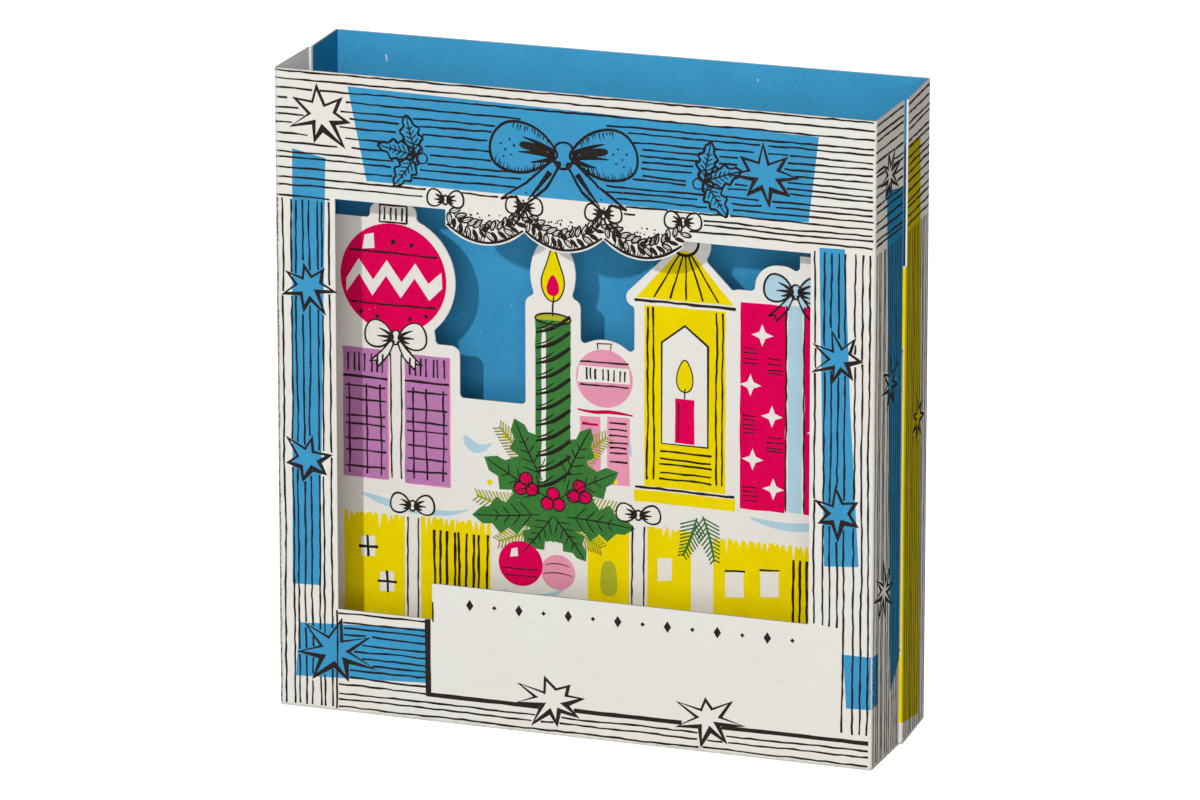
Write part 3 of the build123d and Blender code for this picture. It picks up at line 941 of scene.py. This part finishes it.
    for points in (
        [(-62, 47.6), (-50, 45.4), (-38, 44.0), (-31, 46.0), (-38, 42.6), (-52, 43.2)],
        [(-26, 27.6), (-20, 26.0), (-13, 27.0), (-8, 29.4), (-13, 25.0), (-20, 24.2)],
        [(33, 51.0), (44, 49.8), (52, 50.8), (60, 52.4), (52, 48.6), (43, 47.8)],
        [(-34, 64.0), (-30, 60.6), (-26, 62.6), (-30, 58.4), (-34, 60.4)],
        [(4, 70.6), (7, 66.2), (7.4, 60.6), (5.4, 65.6)],
    ):
        sheet.field("pale_blue", points, smooth=True)

    def fringe(left, right, low, high, tops):
        """A yellow block whose upper edge is brushed into points."""
        outline = [(left, low), (right, low), (right, high - 0.4)]
        x = right - sheet.chance.uniform(0.3, 1.0)
        while x > left + 1.6:
            gap = sheet.chance.uniform(0.5, 1.0)
            deep = sheet.chance.uniform(0.25, 1.0) ** 2 * tops
            outline.append((x, high - sheet.chance.uniform(0, 0.5)))
            outline.append((x - gap * 0.5, high - deep - 0.4))
            outline.append((x - gap, high - sheet.chance.uniform(0, 0.5)))
            x -= gap + sheet.chance.uniform(0.25, 1.3)
        outline.append((left, high - 0.3))
        sheet.field("yellow", outline)

    fringe(-63.6, -48.6, 8.0, 42.4, 4.0)
    fringe(-44.6, -27.4, 8.0, 42.8, 4.4)
    for x in (-47.9, -45.3):
        sheet.line((x, 10.0), (x, 42.0), 0.4)
    for x, y in ((-57.6, 33.8), (-53.0, 25.6)):
        bar(sheet, "white", x - 1.7, x + 1.7, y - 2.4, y + 2.4, 0.3)
        sheet.line((x - 2.4, y), (x + 2.4, y + 0.2), 0.6)
        sheet.line((x, y - 2.4), (x, y + 2.8), 0.6)
    sheet.ruled((-41.8, -27.8, 1.55), 20.0, 39.6, upright=True, width=0.6, ends=4.0)
    bow(sheet, (-46.6, 44.8), 11.0, 5.4, "white", tails=False)

    disc(sheet, "crimson", (-20.0, 33.6), 5.4)
    sheet.field("white", [(-22.6, 35.0), (-20.6, 35.4), (-20.8, 37.4), (-22.2, 37.0)])
    sheet.stripes([30.8, 32.4], -24.2, -15.8, width=0.35)
    disc(sheet, "pink", (-10.8, 32.4), 4.2)
    sheet.stroke([(-13.8, 34.0), (-11.0, 35.0), (-8.0, 34.0)], 0.4)
    sheet.stroke([(-14.4, 31.8), (-11.0, 32.8), (-7.4, 31.8)], 0.4)

    fringe(-3.6, 6.6, 15.0, 46.2, 3.4)
    fringe(11.0, 21.6, 15.0, 46.0, 3.6)
    for x in (7.4, 10.2):
        sheet.line((x, 16.0), (x, 45.6), 0.4)
    sheet.field("olive", placed([(-0.5, 0), (0.5, 0), (0.5, 0.6), (0.3, 0.95), (-0.3, 0.95), (-0.5, 0.6)],
                                (1.6, 28.0), 4.2, 9.0), smooth=True)
    bar(sheet, "white", 13.6, 17.0, 33.0, 38.4, 0.4)
    bow(sheet, (8.8, 48.2), 11.0, 5.0, "white", tails=False)

    fringe(27.0, 60.0, 15.0, 45.0, 4.4)
    for x, y in ((32.2, 33.6), (40.6, 34.6)):
        bar(sheet, "white", x - 2.2, x + 2.2, y - 2.8, y + 3.2, 0.4, rough=0.12)
        sheet.line((x - 2.4, y + 3.5), (x + 2.5, y + 3.8), 0.4)
    sheet.ruled((45.8, 59.6, 1.5), 16.0, 41.6, upright=True, width=0.62, ends=3.6)
    twig(sheet, (23.0, 49.0), 10.0, 250, "green", 3.0, 10)
    twig(sheet, (24.4, 49.6), 11.0, 285, "green", 3.0, 10)

    sheet.field("yellow", [(71.0, 5.2), (72.5, 5.2), (72.5, 113.2), (71.0, 113.2), (71.0, 94.8), (72.2, 94.6),
                           (72.2, 21.4), (71.0, 21.2)])
    return sheet


def print_back():
    """The back of the card: a striped border with two bars of colour round a bare middle."""
    panel = Panel("right fold", "back right", "back left", "flap fold", -71.1)
    # painted shade: the back's bars of colour are in the darker yellow
    sheet = Print("back", panel, ["shade_darkened_yellow", "black"], 37)
    right = -71.1 + panel.length
    sheet.field("shade_darkened_yellow", [(-66.0, 133.0), (-58.6, 131.6), (-60.2, 34.0), (-67.4, 33.4)])
    sheet.field("shade_darkened_yellow", [(-20.0, 21.6), (58.0, 22.4), (57.0, 9.4), (-21.0, 8.4)])
    sheet.field("shade_darkened_yellow", [(52.0, 147.0), (right - 8.0, 146.0), (right - 8.6, 128.0), (51.2, 127.2)])
    sheet.block([(-56.6, 24.6), (right - 15.2, 24.6), (right - 15.2, 122.0), (-56.6, 122.0)])
    for centre, radius, points, turn in (((-62.4, 142.0), 6.2, 6, 8), ((60.0, 137.0), 6.4, 5, 0),
                                         ((-62.6, 80.0), 5.6, 5, 12), ((20.0, 14.6), 6.4, 6, 5)):
        drawn_star(sheet, centre, radius, points, turn)
    sheet.ruled((122.6, 151.6, 1.9), -71.0, right)
    sheet.ruled((-71.0, -57.0, 1.75), 25.0, 121.6, upright=True)
    sheet.ruled((right - 14.6, right, 1.75), 25.0, 121.6, upright=True)
    sheet.ruled((0.4, 24.0, 1.75), -71.0, right)
    sheet.lay()


def print_inside():
    """The inner faces of the rear half: solid blue with a few bare specks, and on the two side faces a darker
    blue that paints in their shade.
    """
    back = Panel("flap fold", "back left", "back right", "right fold", -71.6)
    sheet = Print("inside_back", back, ["blue", "white"], 41)
    sheet.field("blue", rectangle(-71.6, -71.6 + back.length, 0.0, HEIGHT - 0.05))
    speck = [(-0.5, 0.5), (0.2, 0.4), (0.5, -0.4), (0.0, -0.5)]
    for spot, width, length in (((-59.4, 146.2), 0.5, 1.6), ((-26.0, 139.0), 0.6, 0.9),
                                ((30.5, 148.2), 0.35, 0.6)):
        sheet.field("white", placed(speck, spot, width, length))
    sheet.lay()
    side = Panel("back left", "back right", "right fold", "left fold", 0.0)
    # painted shade: the inner right side is printed in the darker blue
    sheet = Print("inside_right", side, ["shade_darkened_blue"], 43)
    bare = side.length - 0.75
    sheet.field("shade_darkened_blue", [(0.0, 0.0), (side.length - 0.2, 0.0), (side.length - 0.2, 113.0),
                              (bare, 113.0), (bare, HEIGHT - 0.05), (0.0, HEIGHT - 0.05)])
    sheet.lay()
    side = Panel("flap edge", "flap fold", "back left", "back right", 0.0)
    # painted shade: the inner left side is printed in the darker blue
    sheet = Print("inside_left", side, ["shade_darkened_blue"], 47)
    sheet.field("shade_darkened_blue", rectangle(0.75, side.length, 0.0, HEIGHT - 0.05))
    sheet.lay()


print_front().lay()
# painted shade: the front sides are printed in the darker blue
print_side("front_right_side", Panel("front left", "front right", "free edge", None, 0.2), 19.6,
           [[(7.9, 134.0), (19.7, 132.0), (19.7, 20.6), (13.4, 14.7)],
            [(0.3, 26.9), (4.5, 26.6), (4.3, 14.8), (0.3, 14.4)]],
           [((10.0, 137.0), 6.8, 8, 10), ((11.6, 88.0), 6.6, 7, 0), ((8.6, 40.0), 7.0, 8, 6)], 13,
           "shade_darkened_blue")
print_side("front_left_side", Panel("right fold", "left fold", "front left", "front right", 0.0), 19.8,
           [[(4.2, 130.0), (12.0, 131.0), (11.4, 20.0), (4.6, 22.0)]],
           [((10.0, 138.0), 6.4, 7, 0), ((9.0, 76.0), 6.6, 8, 4)], 17, "shade_darkened_blue", first=0.8)
# painted shade: the rear sides are printed in the darker yellow
print_side("rear_right_side", Panel("left fold", "right fold", "back right", "back left", 0.0), 20.4,
           [[(0.55, 141.4), (11.8, 141.0), (14.2, 86.0), (14.9, 2.8), (0.0, 5.2), (0.0, 113.0),
             (0.55, 113.2)]],
           [((12.2, 74.0), 6.4, 7, 10)], 19, "shade_darkened_yellow", first=0.7)
print_side("rear_left_side", Panel("back right", "back left", "flap fold", "flap edge", 0.0), 16.8,
           [[(3.0, 140.0), (11.0, 141.0), (10.4, 14.0), (3.4, 12.0)]],
           [((8.6, 104.0), 6.4, 8, 10)], 29, "shade_darkened_yellow")
print_scene().lay()
print_back()
print_inside()


camera_data = bpy.data.cameras.new("camera")
camera_data.lens = LENS
shift = Vector((SHIFT_X, SHIFT_Y, 0.0))
target = (Vector(TARGET) + shift) * MM
scene.camera = aimed("camera", camera_data, (Vector(CAMERA_PLACE) + shift) * MM, target)


def lamp(name, turn, height, distance, size, power):
    """A round lamp that points at the card: turn is to the right of the front, height above the floor."""
    data = bpy.data.lights.new(name, "AREA")
    data.shape = "DISK"
    data.size = size
    data.energy = power
    turn = math.radians(turn)
    height = math.radians(height)
    way = Vector((math.sin(turn) * math.cos(height), -math.cos(turn) * math.cos(height), math.sin(height)))
    aimed(name, data, target + way * distance, target)


lamp("key", KEY_TURN, KEY_HEIGHT, KEY_DISTANCE, KEY_SIZE, KEY_POWER)
lamp("fill", FILL_TURN, FILL_HEIGHT, FILL_DISTANCE, FILL_SIZE, FILL_POWER)
lamp("back", BACK_TURN, BACK_HEIGHT, BACK_DISTANCE, BACK_SIZE, BACK_POWER)

sky = Finish(bpy.data.worlds.new("studio"))
scene.world = sky.owner
seen = sky.node("ShaderNodeLightPath", {}, {}, "Is Camera Ray")
glossy = sky.node("ShaderNodeLightPath", {}, {}, "Is Glossy Ray")
through = sky.node("ShaderNodeLightPath", {}, {}, "Is Transmission Ray")
shown = sky.node("ShaderNodeMath", {"operation": "ADD", "use_clamp": True}, {0: seen + glossy, 1: through})
tint = sky.blend(shown, AMBIENT_COLOUR, (1.0, 1.0, 1.0, 1.0))
backdrop = sky.node("ShaderNodeBackground", {}, {"Color": tint, "Strength": AMBIENT + shown * (1 - AMBIENT)})
sky.node("ShaderNodeOutputWorld", {}, {"Surface": backdrop})

floor_mesh = bpy.data.meshes.new("floor")
bm = bmesh.new()
bmesh.ops.create_grid(bm, x_segments=1, y_segments=1, size=FLOOR_SIZE / 2)
bm.to_mesh(floor_mesh)
bm.free()
floor = bpy.data.objects.new("floor", floor_mesh)
scene.collection.objects.link(floor)
ground = Finish(bpy.data.materials.new("pale_floor"))
seen = ground.node("ShaderNodeLightPath", {}, {}, "Is Camera Ray")
matt = ground.node("ShaderNodeBsdfDiffuse", {}, {"Color": FLOOR_COLOUR})
glow = ground.node("ShaderNodeEmission", {}, {"Strength": seen * FLOOR_GLOW})
both = ground.node("ShaderNodeAddShader", {}, {0: matt, 1: glow})
ground.node("ShaderNodeOutputMaterial", {}, {"Surface": both})
floor_mesh.materials.append(ground.owner)

scene.view_settings.view_transform = "Standard"
